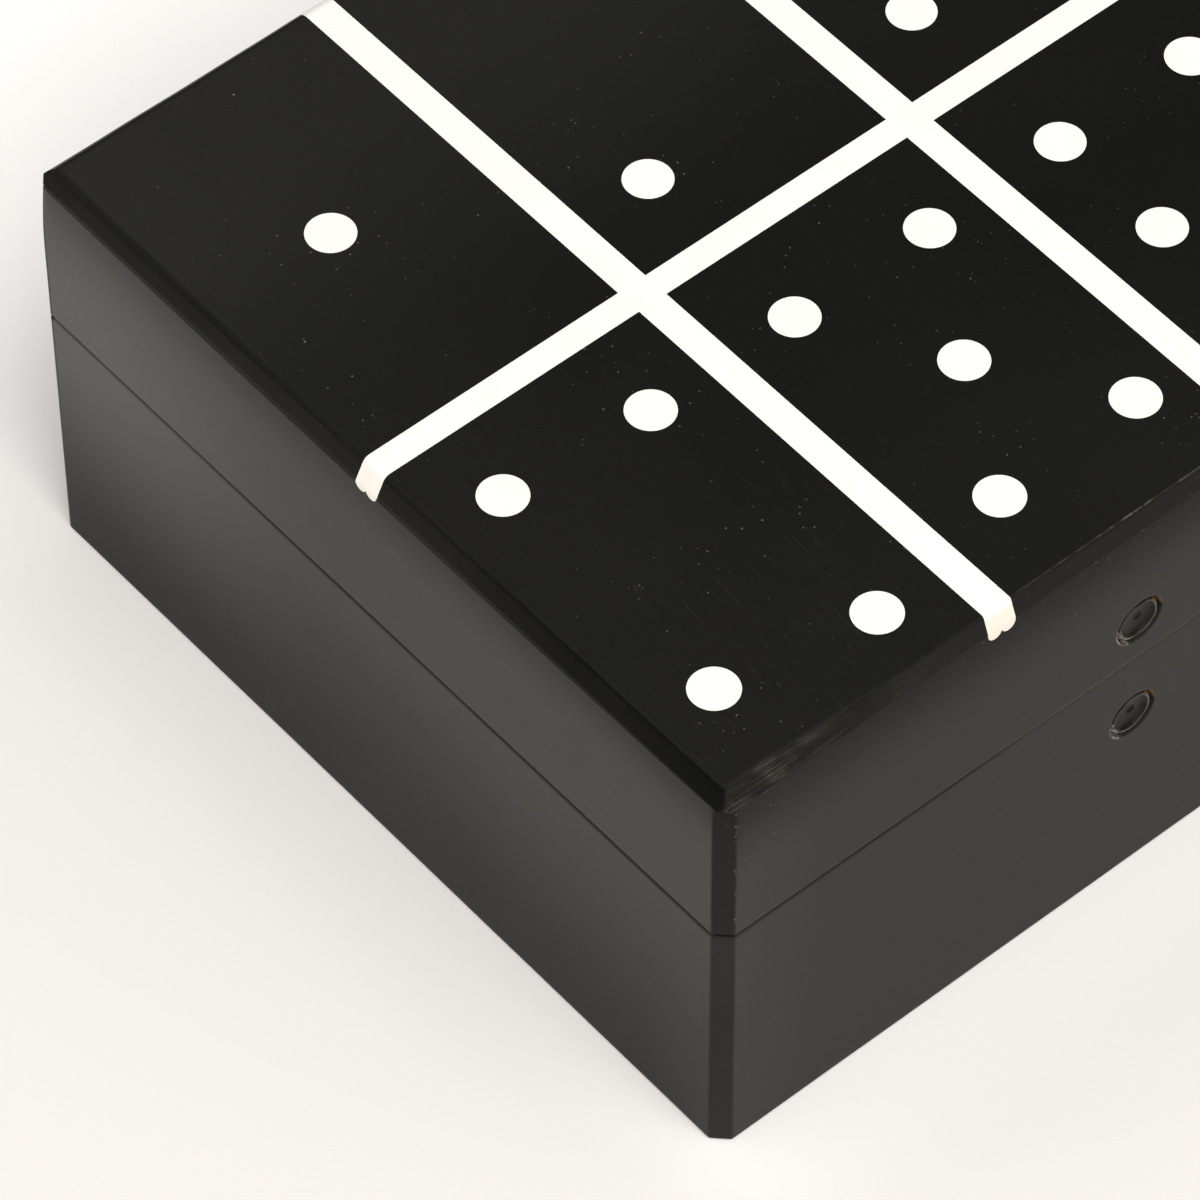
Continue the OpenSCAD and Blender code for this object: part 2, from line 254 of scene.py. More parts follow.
floorLook = {
    "near": (0.862, 0.832, 0.807),
    "paintedLightFront": (0.935, 0.905, 0.88),  # painted light: the floor paler close to the front foot, where the box's shade falls
    "paintedLightBehind": (0.96, 0.935, 0.91),  # painted light: paler behind the box as well
    "glow": 0.12,  # painted light: the floor glows behind the box
    "far": (0.42, 0.41, 0.40),
    "fadeFrom": 0.50,
    "fadeTo": 1.3,
    "size": 3.0,
}


def makeFloor():
    # Matt paper that falls off to grey far from the box, with painted light near the front and a painted
    # glow behind it
    material, tree, shader, place = newMaterial("paleFloor")
    x, y, _ = axes(tree, place)
    # painted light: paler near the front foot and behind the box, where the box's shade falls
    paintedLightNearFront = times(tree, ramp(tree, y, -0.102, -0.077), ramp(tree, x, -0.090, -0.072))
    paintedLightBehind = ramp(tree, y, 0.060, 0.130)
    color = mixColor(tree, paintedLightNearFront, floorLook["near"], floorLook["paintedLightFront"])
    color = mixColor(tree, paintedLightBehind, color, floorLook["paintedLightBehind"])
    away = addNode(tree, "VectorMath", {0: place}, operation="LENGTH").outputs["Value"]
    fade = ramp(tree, away, floorLook["fadeFrom"], floorLook["fadeTo"])
    color = mixColor(tree, fade, color, floorLook["far"])
    # painted glow on the floor behind the box
    glow = ramp(tree, away, floorLook["fadeTo"], floorLook["fadeFrom"], 0.0, floorLook["glow"])
    fillInputs(tree, shader.inputs, {
        "Base Color": color, "Roughness": 0.9, "Specular IOR Level": 0.1,
        "Emission Color": (1.0, 0.985, 0.965, 1), "Emission Strength": times(tree, paintedLightBehind, glow)})
    size = floorLook["size"]
    mesh = bpy.data.meshes.new("studioFloor")
    corners = [(-size, -size, 0), (size, -size, 0), (size, size, 0), (-size, size, 0)]
    mesh.from_pydata(corners, [], [(0, 1, 2, 3)])
    mesh.materials.append(material)
    floor = bpy.data.objects.new("studioFloor", mesh)
    bpy.context.scene.collection.objects.link(floor)


makeFloor()
print("floor laid")

catch = {"x": 1.5, "baseZ": 35.5, "lidZ": 56.7, "seat": 8.4, "seatDepth": 1.2, "shank": 4.0}


def rivetGroup():
    # Place round the nearer of the two rivets: distance from its axis, and nearness to three directions
    tree, given, out = newGroup("roundRivet", (), ("Out", "LowerLeft", "UpperRight", "Upper"))
    x, y, z = axes(tree, given["Vector"])
    inLid = calc(tree, "GREATER_THAN", z, box["baseRim"] * mm)
    centre = calc(tree, "MULTIPLY_ADD", inLid, (catch["lidZ"] - catch["baseZ"]) * mm, catch["baseZ"] * mm)
    right = minus(tree, x, catch["x"] * mm)
    up = minus(tree, z, centre)
    away = calc(tree, "SQRT", plus(tree, times(tree, right, right), times(tree, up, up)))
    # the other walls count as far off
    tree.links.new(plus(tree, away, calc(tree, "GREATER_THAN", y, -0.060)), out["Out"])
    turn = calc(tree, "ARCTAN2", up, right)
    for label, middle in (("LowerLeft", -2.55), ("UpperRight", 0.45), ("Upper", 2.3)):
        tree.links.new(calc(tree, "COSINE", minus(tree, turn, middle)), out[label])
    return tree


def dustGroup():
    # Small bright specks: the middles of scattered cells, each with its own strength
    tree, given, out = newGroup("dustSpecks", ("Scale", "Size", "Share"), ("Mask",))
    cells = addNode(tree, "TexVoronoi", {
        "Vector": given["Vector"], "Scale": given["Scale"], "Randomness": 1.0})
    pick = addNode(tree, "SeparateColor", {0: cells.outputs["Color"]})
    size = times(tree, given["Size"], plus(tree, pick.outputs[2], 0.45))
    near = calc(tree, "DIVIDE", cells.outputs["Distance"], size)
    dot = ramp(tree, near, 1.0, 0.45)
    chosen = calc(tree, "LESS_THAN", pick.outputs[0], given["Share"])
    strength = calc(tree, "POWER", pick.outputs[1], 1.3)
    tree.links.new(times(tree, dot, chosen, strength), out["Mask"])
    return tree


def scratchGroup():
    # Fine hairlines in one direction, gathered in patches
    tree, given, out = newGroup("hairScratches", ("Angle", "Fineness", "Length", "Amount"), ("Mask",))
    slant = {"Vector": given["Vector"], "Angle": given["Angle"]}
    turned = addNode(tree, "VectorRotate", slant, rotation_type="Z_AXIS").outputs[0]
    factors = addNode(tree, "CombineXYZ", {
        0: given["Fineness"], 1: given["Length"], 2: given["Length"]})
    long = stretch(tree, turned, factors.outputs[0])
    lines = noise(tree, long, 1.0, 2.0, 0.4)
    patches = noise(tree, given["Vector"], 38.0, 2.0)
    line = ramp(tree, lines, 0.66, 0.80)
    level = minus(tree, 0.75, times(tree, given["Amount"], 0.4))
    patch = ramp(tree, patches, level, plus(tree, level, 0.15))
    tree.links.new(times(tree, line, patch), out["Mask"])
    return tree


def edgeGroup():
    # How near a point is to the box's upright edges and to the seam, and whether it is on a corner flat
    tree, given, out = newGroup("edgeNearness", ("Width",), ("Upright", "Seam", "Flat"))
    x, y, z = axes(tree, given["Vector"])
    inX = minus(tree, box["half"] * mm, calc(tree, "ABSOLUTE", x))
    inY = minus(tree, box["half"] * mm, calc(tree, "ABSOLUTE", y))
    beyond = minus(tree, most(tree, inX, inY), box["cornerCut"] * mm)
    seam = distance(tree, z, (box["baseRim"] + box["lidRim"]) / 2 * mm)
    tree.links.new(ramp(tree, beyond, 0.0003, -0.0001), out["Flat"])
    for gap, label in ((calc(tree, "ABSOLUTE", beyond), "Upright"), (seam, "Seam")):
        tree.links.new(ramp(tree, calc(tree, "DIVIDE", gap, given["Width"]), 1.0, 0.2), out[label])
    return tree


dust = dustGroup()
scratches = scratchGroup()
nearEdges = edgeGroup()
roundRivet = rivetGroup()

finish = {
    "black": (0.0038, 0.0038, 0.0033),
    "warmBlack": (0.0056, 0.0055, 0.0045),
    "dust": (0.42, 0.42, 0.40),
    "paintedLight": (0.085, 0.0835, 0.0765),  # painted light: a pale film where it is thickest
    "leftPaintedLight": 0.49,  # its share on the left side
    "rearLeftPaintedLight": 0.54,  # and what the rear end of that side has on top
    "frontPaintedLight": 0.216,
    "topPaintedLight": 0.034,
    "bevelPaintedLight": 0.085,  # on the front bevel
    "rubbed": (0.34, 0.34, 0.32),  # along the upright edges of the lid
    "seamLine": (0.15, 0.145, 0.125),
    "hairline": (0.30, 0.30, 0.28),
    "sanded": (0.120, 0.112, 0.092),  # streaks on the front bevel
    "bareWood": (0.24, 0.20, 0.13),
    # on the wall round the rivets: a painted highlight on the lip, a painted cream reflection, and bare
    # brass painted dark as shade
    "seatLipHighlight": (0.11, 0.105, 0.095),
    "paintedReflection": (0.44, 0.385, 0.30),
    "bareBrassInShade": (0.21, 0.10, 0.035),
    "gloss": 1.17,  # refractive index of the satin lacquer
}


def paintedLightShare(tree, x, y, z, cloud, onFlat):
    # Painted light, a pale film that makes faces lighter: thick on the left side and more so at its rear
    # end, thin at the bottom, under the bevel and on the corners
    onLeft = ramp(tree, x, -0.0736, -0.0744)
    left = times(
        tree, ramp(tree, z, 0.003, 0.052), ramp(tree, z, 0.079, 0.066, 0.22, 1.0), finish["leftPaintedLight"])
    # thinner low down in the middle of the side
    middle = times(
        tree, ramp(tree, y, -0.040, -0.005), ramp(tree, y, 0.045, 0.012), ramp(tree, z, 0.046, 0.034))
    left = times(tree, left, minus(tree, 1.0, times(tree, middle, 0.22)))
    rear = times(
        tree, ramp(tree, y, 0.005, 0.062), ramp(tree, z, 0.005, 0.047),
        ramp(tree, z, 0.078, 0.052, 0.20, 1.0), finish["rearLeftPaintedLight"])
    corner = times(tree, ramp(tree, y, -0.056, -0.072), ramp(tree, z, 0.045, 0.0, 0.0, 0.09))
    left = plus(tree, left, rear, corner)
    front = times(
        tree, ramp(tree, z, 0.078, 0.060), finish["frontPaintedLight"], ramp(tree, x, -0.054, -0.073, 1.0, 1.52),
        ramp(tree, z, 0.0, 0.045, 0.80, 1.0))
    share = mixValue(tree, onLeft, front, left)
    share = mixValue(tree, onFlat, share, ramp(tree, z, 0.0480, 0.0490, 0.14, 0.045))
    return calc(tree, "MULTIPLY", share, ramp(tree, cloud, 0.3, 0.7, 0.90, 1.08), clamp=True)


def lacquerMaterial(name):
    # Satin black lacquer on the boards: painted light as a pale film, specks of dust, rubbed edges, a pale
    # line in the tight part of the seam, and painted light round the rivet seats
    material, tree, shader, place = newMaterial(name)
    x, y, z = axes(tree, place)
    cloud = noise(tree, place, 14.0, 4.0)
    fine = noise(tree, place, 420.0, 3.0)
    edge = useGroup(tree, nearEdges, {"Vector": place, "Width": 0.00026})
    color = mixColor(tree, ramp(tree, cloud, 0.4, 0.62), finish["black"], finish["warmBlack"])
    # painted light: a pale film that lightens the left side most and fades towards the bottom
    paintedLight = paintedLightShare(tree, x, y, z, cloud, edge["Flat"])
    color = mixColor(tree, paintedLight, color, finish["paintedLight"])
    inLid = ramp(tree, z, 0.0495, 0.0510, 0.10, 1.0)
    rub = ramp(tree, noise(tree, place, 1000.0, 4.0, 0.65), 0.54, 0.70)
    onFront = ramp(tree, y, -0.0738, -0.0745)
    upright = times(tree, edge["Upright"], rub, inLid, ramp(tree, y, -0.0735, -0.0746), 0.32)
    color = mixColor(tree, upright, color, finish["rubbed"])
    tight = times(tree, onFront, ramp(tree, x, -0.034, -0.008))
    pale = times(tree, edge["Seam"], tight, ramp(tree, fine, 0.3, 0.6, 0.45, 1.0), 0.40)
    color = mixColor(tree, pale, color, finish["seamLine"])
    seat = useGroup(tree, roundRivet, {"Vector": place})
    blot = noise(tree, place, 1100.0, 3.0, 0.65)
    # painted highlight on the upper side of the seat's lip
    lip = times(tree, ramp(tree, distance(tree, seat["Out"], 0.00430), 0.00018, 0.00006), onFront)
    pale = times(tree, lip, ramp(tree, seat["Upper"], -0.4, 0.7), ramp(tree, blot, 0.3, 0.6, 0.3, 1.0), 0.6)
    color = mixColor(tree, pale, color, finish["seatLipHighlight"])
    # painted cream reflection at the lower left of the seat
    paintedReflection = times(
        tree, ramp(tree, seat["Out"], 0.00455, 0.00428), ramp(tree, seat["LowerLeft"], 0.80, 0.94),
        ramp(tree, blot, 0.40, 0.60, 0.1, 1.0), 0.75)
    color = mixColor(tree, paintedReflection, color, finish["paintedReflection"])
    # bare brass at the upper right of the seat, painted dark as shade
    bareBrassShade = times(
        tree, ramp(tree, seat["Out"], 0.00432, 0.00422), ramp(tree, seat["UpperRight"], 0.93, 0.975),
        ramp(tree, blot, 0.32, 0.5, 0.2, 1.0), 0.9)
    color = mixColor(tree, bareBrassShade, color, finish["bareBrassInShade"])
    specks = useGroup(tree, dust, {"Vector": place, "Scale": 420.0, "Size": 0.075, "Share": 0.30})["Mask"]
    tiny = useGroup(tree, dust, {"Vector": place, "Scale": 1250.0, "Size": 0.20, "Share": 0.45})["Mask"]
    clusters = ramp(tree, noise(tree, place, 45.0, 2.0), 0.50, 0.72, 0.05, 0.5)
    cornerDust = times(tree, ramp(tree, x, -0.058, -0.072), onFront, inLid)
    middleDust = ramp(tree, distance(tree, x, -0.009), 0.022, 0.004, 0.0, 0.6)
    middleDust = times(tree, middleDust, onFront)
    clusters = most(tree, clusters, most(tree, cornerDust, middleDust))
    dusty = times(tree, most(tree, specks, times(tree, tiny, 0.8)), clusters)
    color = mixColor(tree, times(tree, dusty, 0.75), color, finish["dust"])
    rough = plus(tree, ramp(tree, cloud, 0.3, 0.7, 0.27, 0.35), times(tree, fine, 0.05))
    rough = calc(tree, "ADD", rough, times(tree, dusty, 0.4), clamp=True)
    height = times(tree, noise(tree, place, 55.0, 2.0), 0.7)
    height = plus(tree, height, times(tree, fine, 0.10), times(tree, dusty, 0.3))
    paint(tree, shader, color, rough, height, 0.3, 0.0002, {"IOR": finish["gloss"]})
    return material


def plateMaterial(name):
    # The black facing: painted light that makes the top and the bevels paler, faint hairlines near its
    # corner, dust, sanding streaks along the front bevel and a rubbed line at its top edge
    material, tree, shader, place = newMaterial(name)
    x, y, z = axes(tree, place)
    cloud = noise(tree, place, 16.0, 3.0)
    fine = noise(tree, place, 600.0, 3.0)
    color = mixColor(tree, ramp(tree, cloud, 0.4, 0.62), finish["black"], finish["warmBlack"])
    # painted light: the top paler towards the rear and the left, and the bevels paler, the front one more
    paintedLight = plus(
        tree, finish["topPaintedLight"],
        ramp(tree, y, 0.0, 0.055, 0.0, 0.106), ramp(tree, x, -0.030, -0.075, 0.0, 0.024),
        ramp(tree, y, -0.020, -0.060, 0.0, 0.024), ramp(tree, x, 0.032, 0.0, 0.0, 0.018))
    onTop = ramp(tree, z, 0.0797, 0.07998)
    offTop = minus(tree, 1.0, onTop)
    # y less x is below 0 on the front side of the near corner's mitre
    mitre = ramp(tree, minus(tree, y, x), 0.0002, -0.0003)
    onFrontBevel = times(tree, ramp(tree, y, -0.0712, -0.0725), offTop, mitre)
    onLeftBevel = times(tree, ramp(tree, x, -0.0710, -0.0722), offTop, ramp(tree, y, -0.035, 0.015))
    slopePaintedLight = plus(tree, times(tree, onFrontBevel, finish["bevelPaintedLight"]), times(tree, onLeftBevel, 0.05))
    paintedLight = plus(tree, times(tree, paintedLight, onTop), slopePaintedLight)
    color = mixColor(tree, paintedLight, color, finish["paintedLight"])
    nearCorner = times(tree, ramp(tree, x, 0.0, -0.050), ramp(tree, y, 0.0, -0.055))
    nearCorner = most(tree, nearCorner, ramp(tree, x, -0.050, -0.072, 0.0, 0.5))
    hair = useGroup(tree, scratches, {
        "Vector": place, "Angle": 0.10, "Fineness": 8500.0, "Length": 85.0, "Amount": 1.0})["Mask"]
    short = useGroup(tree, scratches, {
        "Vector": place, "Angle": -0.06, "Fineness": 7000.0, "Length": 230.0, "Amount": 0.8})["Mask"]
    hair = times(tree, most(tree, hair, short), onTop, calc(tree, "ADD", nearCorner, 0.10, clamp=True))
    color = mixColor(tree, times(tree, hair, 0.065), color, finish["hairline"])
    slope = times(tree, ramp(tree, z, 0.07995, 0.0797), ramp(tree, y, -0.0715, -0.0722), mitre)
    worn = ramp(tree, x, -0.026, -0.056, 0.0, 0.20)
    worn = plus(tree, ramp(tree, x, -0.054, -0.071, 0.0, 0.80), worn)
    long = stretch(tree, place, (130.0, 4600.0, 5200.0))
    finer = stretch(tree, place, (300.0, 10500.0, 12000.0))
    streak = times(tree, noise(tree, long, 1.0, 2.0, 0.5), 0.6)
    streak = plus(tree, streak, times(tree, noise(tree, finer, 1.0, 2.0, 0.5), 0.4))
    streak = ramp(tree, streak, 0.46, 0.64, 0.12, 1.0)
    patch = ramp(tree, noise(tree, place, 170.0, 2.0), 0.38, 0.60, 0.15, 1.0)
    sanded = times(tree, slope, worn, streak, patch)
    color = mixColor(tree, calc(tree, "MULTIPLY", sanded, 0.75, clamp=True), color, finish["sanded"])
    crest = distance(tree, y, -0.0734)
    crest = times(tree, ramp(tree, crest, 0.00018, 0.00006), ramp(tree, z, 0.0785, 0.0790))
    chips = ramp(tree, noise(tree, place, 520.0, 3.0, 0.6), 0.40, 0.62, 0.1, 1.0)
    wide = ramp(tree, distance(tree, x, 0.003), 0.008, 0.003, 0.0, 0.3)
    wide = plus(tree, ramp(tree, x, -0.040, -0.002, 0.0, 0.16), wide)
    color = mixColor(tree, times(tree, crest, wide, chips), color, finish["bareWood"])
    specks = useGroup(tree, dust, {"Vector": place, "Scale": 420.0, "Size": 0.085, "Share": 0.20})["Mask"]
    tiny = useGroup(tree, dust, {"Vector": place, "Scale": 1300.0, "Size": 0.18, "Share": 0.25})["Mask"]
    clusters = ramp(tree, noise(tree, place, 45.0, 2.0), 0.46, 0.70, 0.10, 0.75)
    dusty = times(tree, most(tree, specks, times(tree, tiny, 0.5)), clusters)
    color = mixColor(tree, times(tree, dusty, 0.8), color, finish["dust"])
    rough = plus(tree, ramp(tree, cloud, 0.3, 0.7, 0.22, 0.30), times(tree, fine, 0.05))
    rough = calc(tree, "ADD", rough, times(tree, most(tree, dusty, sanded), 0.25), clamp=True)
    height = plus(tree, times(tree, noise(tree, place, 60.0, 2.0), 0.5), times(tree, fine, 0.08))
    height = minus(tree, height, times(tree, most(tree, hair, sanded), 0.15))
    paint(tree, shader, color, rough, height, 0.3, 0.0002, {"IOR": finish["gloss"]})
    return material


resinLook = {
    "white": (0.955, 0.945, 0.90),
    "shade": (0.93, 0.915, 0.86),
    "cream": (0.955, 0.895, 0.79),  # where it runs down over the bevel
    "thin": (0.84, 0.755, 0.63),  # painted shade: darker on the front slopes
}


def resinMaterial(name):
    # Poured white resin: faint clouds, a creamier tone where it runs down over the bevel, and painted shade
    # on the front slopes
    material, tree, shader, place = newMaterial(name)
    _, y, z = axes(tree, place)
    cloud = noise(tree, place, 90.0, 3.0)
    color = mixColor(tree, ramp(tree, cloud, 0.4, 0.68, 0.0, 0.6), resinLook["white"], resinLook["shade"])
    over = ramp(tree, z, 0.0798, 0.0786)
    uneven = ramp(tree, noise(tree, place, 700.0, 2.0), 0.3, 0.7, 0.6, 1.0)
    color = mixColor(tree, times(tree, over, uneven), color, resinLook["cream"])
    # painted shade on the front slopes
    thin = times(tree, over, ramp(tree, y, -0.0700, -0.0715))
    color = mixColor(tree, times(tree, thin, 0.8), color, resinLook["thin"])
    rough = ramp(tree, cloud, 0.3, 0.7, 0.26, 0.38)
    paint(tree, shader, color, rough, noise(tree, place, 260.0, 3.0), 0.12, 0.0002)
    return material


def metalMaterial(name, bright, dull, rough):
    # Drawn metal with fine lines, a little tarnish and fingermarks
    material, tree, shader, place = newMaterial(name)
    long = stretch(tree, place, (90.0, 2600.0, 2600.0))
    lines = noise(tree, long, 1.0, 3.0)
    stain = noise(tree, place, 180.0, 4.0, 0.6)
    color = mixColor(tree, ramp(tree, stain, 0.42, 0.68), bright, dull)
    color = mixColor(tree, times(tree, ramp(tree, lines, 0.35, 0.7), 0.25), color, dull)
    rough = ramp(tree, stain, 0.3, 0.7, rough, rough + 0.16)
    paint(tree, shader, color, rough, lines, 0.15, 0.0001, {"Metallic": 1.0})
    return material


def woodMaterial(name, pale, dark):
    # Plain board with the grain along X
    material, tree, shader, place = newMaterial(name)
    long = stretch(tree, place, (14.0, 220.0, 220.0))
    grain = noise(tree, long, 1.0, 5.0, 0.6)
    pores = noise(tree, stretch(tree, place, (160.0, 2400.0, 2400.0)), 1.0, 2.0)
    color = mixColor(tree, ramp(tree, grain, 0.35, 0.65), pale, dark)
    pore = times(tree, ramp(tree, pores, 0.55, 0.7), 0.5)
    color = mixColor(tree, pore, color, tuple(c * 0.5 for c in dark))
    rough = ramp(tree, grain, 0.3, 0.7, 0.48, 0.62)
    paint(tree, shader, color, rough, plus(tree, grain, pores), 0.3, 0.0002)
    return material


def feltMaterial(name, pale, dark):
    # Pressed wool felt: matted fibres and soft cloudy shading
    material, tree, shader, place = newMaterial(name)
    fibre = noise(tree, place, 1500.0, 4.0, 0.7)
    tuft = noise(tree, place, 260.0, 3.0)
    cloud = noise(tree, place, 35.0, 2.0)
    matted = plus(tree, times(tree, fibre, 0.6), times(tree, tuft, 0.4))
    color = mixColor(tree, ramp(tree, matted, 0.38, 0.64), dark, pale)
    color = mixColor(tree, times(tree, ramp(tree, cloud, 0.4, 0.65), 0.35), color, dark)
    rough = ramp(tree, tuft, 0.3, 0.7, 0.88, 1.0)
    sheen = {"Specular IOR Level": 0.15, "Sheen Weight": 0.35, "Sheen Roughness": 0.5}
    paint(tree, shader, color, rough, plus(tree, fibre, tuft), 0.6, 0.0004, sheen)
    return material


def plasticMaterial(name, color, rough):
    # Moulded plastic with a fine even texture
    material, tree, shader, place = newMaterial(name)
    grain = noise(tree, place, 900.0, 2.0)
    cloud = noise(tree, place, 80.0, 3.0)
    shade = tuple(c * 1.6 for c in color)
    color = mixColor(tree, ramp(tree, cloud, 0.4, 0.7), color, shade)
    paint(tree, shader, color, ramp(tree, grain, 0.3, 0.7, rough, rough + 0.12), grain, 0.25, 0.0001)
    return material


rivetLook = {
    "black": (0.0035, 0.0033, 0.0028),
    "grime": (0.010, 0.0092, 0.008),
    # painted highlight along the crest
    "crest": (0.17, 0.16, 0.14),
    # painted cream reflection at the lower left
    "paintedReflection": (0.42, 0.36, 0.27),
    "bareBrassShade": (0.18, 0.082, 0.029),  # bare brass where the lacquer is rubbed through, painted dark as shade
    "brass": (0.55, 0.36, 0.14),  # inside the box
}


def rivetMaterial(name):
    # Black lacquer over a brass rivet: a painted highlight along its crest, a painted cream reflection at
    # the lower left, bare brass painted dark as shade at the upper right, and bare brass inside the box
    material, tree, shader, place = newMaterial(name)
    y = axes(tree, place)["Y"]
    around = useGroup(tree, roundRivet, {"Vector": place})
    blot = noise(tree, place, 1100.0, 4.0, 0.65)
    grime = noise(tree, place, 400.0, 3.0)
    color = mixColor(tree, ramp(tree, grime, 0.4, 0.65), rivetLook["black"], rivetLook["grime"])
    # painted highlight along the crest, away from the upper side
    crest = times(
        tree, ramp(tree, distance(tree, around["Out"], 0.00330), 0.00022, 0.00006),
        ramp(tree, blot, 0.3, 0.6, 0.25, 1.0), ramp(tree, around["Upper"], 0.5, -0.5, 0.3, 1.0), 0.55)
    color = mixColor(tree, crest, color, rivetLook["crest"])
    # painted cream reflection at the lower left of the rivet
    paintedReflection = times(
        tree, ramp(tree, around["Out"], 0.0031, 0.0036), ramp(tree, around["LowerLeft"], 0.74, 0.94),
        ramp(tree, blot, 0.40, 0.58), 0.75)
    color = mixColor(tree, paintedReflection, color, rivetLook["paintedReflection"])
    # bare brass at the upper right of the rivet, painted dark as shade
    bareBrassShade = times(
        tree, ramp(tree, around["Out"], 0.00325, 0.0036), ramp(tree, around["UpperRight"], 0.91, 0.97),
        ramp(tree, blot, 0.32, 0.5, 0.3, 1.0), 0.75)
    color = mixColor(tree, bareBrassShade, color, rivetLook["bareBrassShade"])
    inside = ramp(tree, y, (-box["half"] + 8.5) * mm, (-box["half"] + 9.2) * mm)
    color = mixColor(tree, inside, color, rivetLook["brass"])
    rough = ramp(tree, grime, 0.3, 0.7, 0.26, 0.42)
    height = plus(tree, blot, grime)
    paint(tree, shader, color, rough, height, 0.3, 0.0002, {"Metallic": inside, "IOR": 1.24})
    return material


lacquer = lacquerMaterial("blackLacquer")
plateBlack = plateMaterial("blackPlate")
resin = resinMaterial("whiteResin")
brass = metalMaterial("hingeBrass", (0.62, 0.44, 0.19), (0.36, 0.24, 0.10), 0.26)
steel = metalMaterial("strikeSteel", (0.55, 0.55, 0.54), (0.34, 0.33, 0.31), 0.28)
magnetMetal = metalMaterial("magnetNickel", (0.68, 0.67, 0.65), (0.5, 0.49, 0.47), 0.16)
board = woodMaterial("panelBoard", (0.36, 0.22, 0.11), (0.20, 0.11, 0.05))
felt = feltMaterial("greenFelt", (0.035, 0.11, 0.065), (0.012, 0.05, 0.028))
plastic = plasticMaterial("holderPlastic", (0.03, 0.03, 0.032), 0.38)
rivetFinish = rivetMaterial("lacqueredRivet")
print("materials made")


def gridQuads(rows, columns, closeColumns):
    # Corner numbers of the quads between neighbouring rows and columns of a grid of points
    reach = columns if closeColumns else columns - 1
    row, column = np.meshgrid(np.arange(rows - 1), np.arange(reach), indexing="ij")
    nextColumn = (column + 1) % columns
    a, b = row * columns + column, row * columns + nextColumn
    return np.stack([a, b, b + columns, a + columns], -1).reshape(-1, 4)


def fillMesh(name, points, quads, caps=()):
    # points in millimetres, quads and caps as arrays of corner numbers
    sizes = [4] * len(quads) + [len(cap) for cap in caps]
    corners = np.concatenate([quads.ravel(), *caps]).astype(np.int32)
    mesh = bpy.data.meshes.new(name)
    mesh.vertices.add(len(points))
    mesh.vertices.foreach_set("co", (points * mm).astype(np.float32).ravel())
    mesh.loops.add(len(corners))
    mesh.loops.foreach_set("vertex_index", corners)
    mesh.polygons.add(len(sizes))
    mesh.polygons.foreach_set("loop_start", np.concatenate([[0], np.cumsum(sizes)[:-1]]).astype(np.int32))
    mesh.update(calc_edges=True)
    mesh.validate()
    piece = bpy.data.objects.new(name, mesh)
    bpy.context.scene.collection.objects.link(piece)
    return piece


def loftRings(name, rings):
    # A closed solid from rings of points, lowest ring first, each ring anticlockwise from above
    count, around, _ = rings.shape
    quads = gridQuads(count, around, True)
    last = (count - 1) * around
    return fillMesh(name, rings.reshape(-1, 3), quads, (np.arange(around)[::-1], last + np.arange(around)))


def combine(piece, tool, how):
    # The piece with the tool taken out, added, or as the part that both share; the tool is used up
    modifier = piece.modifiers.new("shape", "BOOLEAN")
    modifier.operation = how
    modifier.solver = "EXACT"
    modifier.object = tool
    bpy.context.view_layer.update()
    made = bpy.data.meshes.new_from_object(piece.evaluated_get(bpy.context.evaluated_depsgraph_get()))
    piece.modifiers.clear()
    old = piece.data
    piece.data = made
    made.name = piece.name
    bpy.data.meshes.remove(old)
    removePiece(tool)


def removePiece(piece):
    mesh = piece.data
    bpy.data.objects.remove(piece)
    bpy.data.meshes.remove(mesh)


def copyPiece(piece, name):
    other = piece.copy()
    other.data = piece.data.copy()
    other.name = other.data.name = name
    bpy.context.scene.collection.objects.link(other)
    return other


def prismPiece(name, ring, z0, z1):
    # An upright cutting shape over a ring of corners
    return loftRings(name, np.stack([np.column_stack([ring, np.full(len(ring), z)]) for z in (z0, z1)]))


def blockPiece(low, high):
    x0, y0, z0 = low
    x1, y1, z1 = high
    return prismPiece("block", np.array([(x0, y0), (x1, y0), (x1, y1), (x0, y1)]), z0, z1)


def rodPiece(x, y, z0, z1, radius):
    angle = np.arange(cutCorners) * 2 * np.pi / cutCorners
    ring = np.column_stack([x + radius * np.cos(angle), y + radius * np.sin(angle)])
    return prismPiece("rod", ring, z0, z1)


def finishPiece(piece, body, material, cadNodes, sharpDegrees=32):
    mesh = piece.data
    mesh.materials.clear()
    mesh.materials.append(material)
    mesh.shade_smooth()
    mesh.set_sharp_from_angle(angle=math.radians(sharpDegrees))
    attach(piece, body)
    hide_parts(*cadNodes)


sideNames = ("front", "right", "rear", "left")

edges = {
    "uprightRound": 0.8,  # radius where a side meets the corner flat
    "footRound": 0.5,  # radius along the bottom
    "rimRound": 0.25,  # radius along both rims
    "roundSteps": 4,
    "footGroove": 0.07,  # fine groove where the plates meet the walls
    # corners anticlockwise from the front left: flats on the walls, and on the plates above them
    "wallCut": (2.3, 2.3, 2.0, 1.9),
    "plateCut": (1.6, 2.2, 2.9, 2.8),
    "cornerLean": 0.5,  # how much more the rear left corner leans in
    "cornerLeanHeight": 14.0,
    # the seam: places along a side and how far the rims close in there, below 0 where it opens
    "seam": {
        "front": ((-75, -62, -46, -16, 63, 75), (-0.20, -0.05, -0.03, 0.12, 0.12, 0)),
        "left": ((-75, 20, 75), (-0.11, -0.10, -0.20)),
    },
}

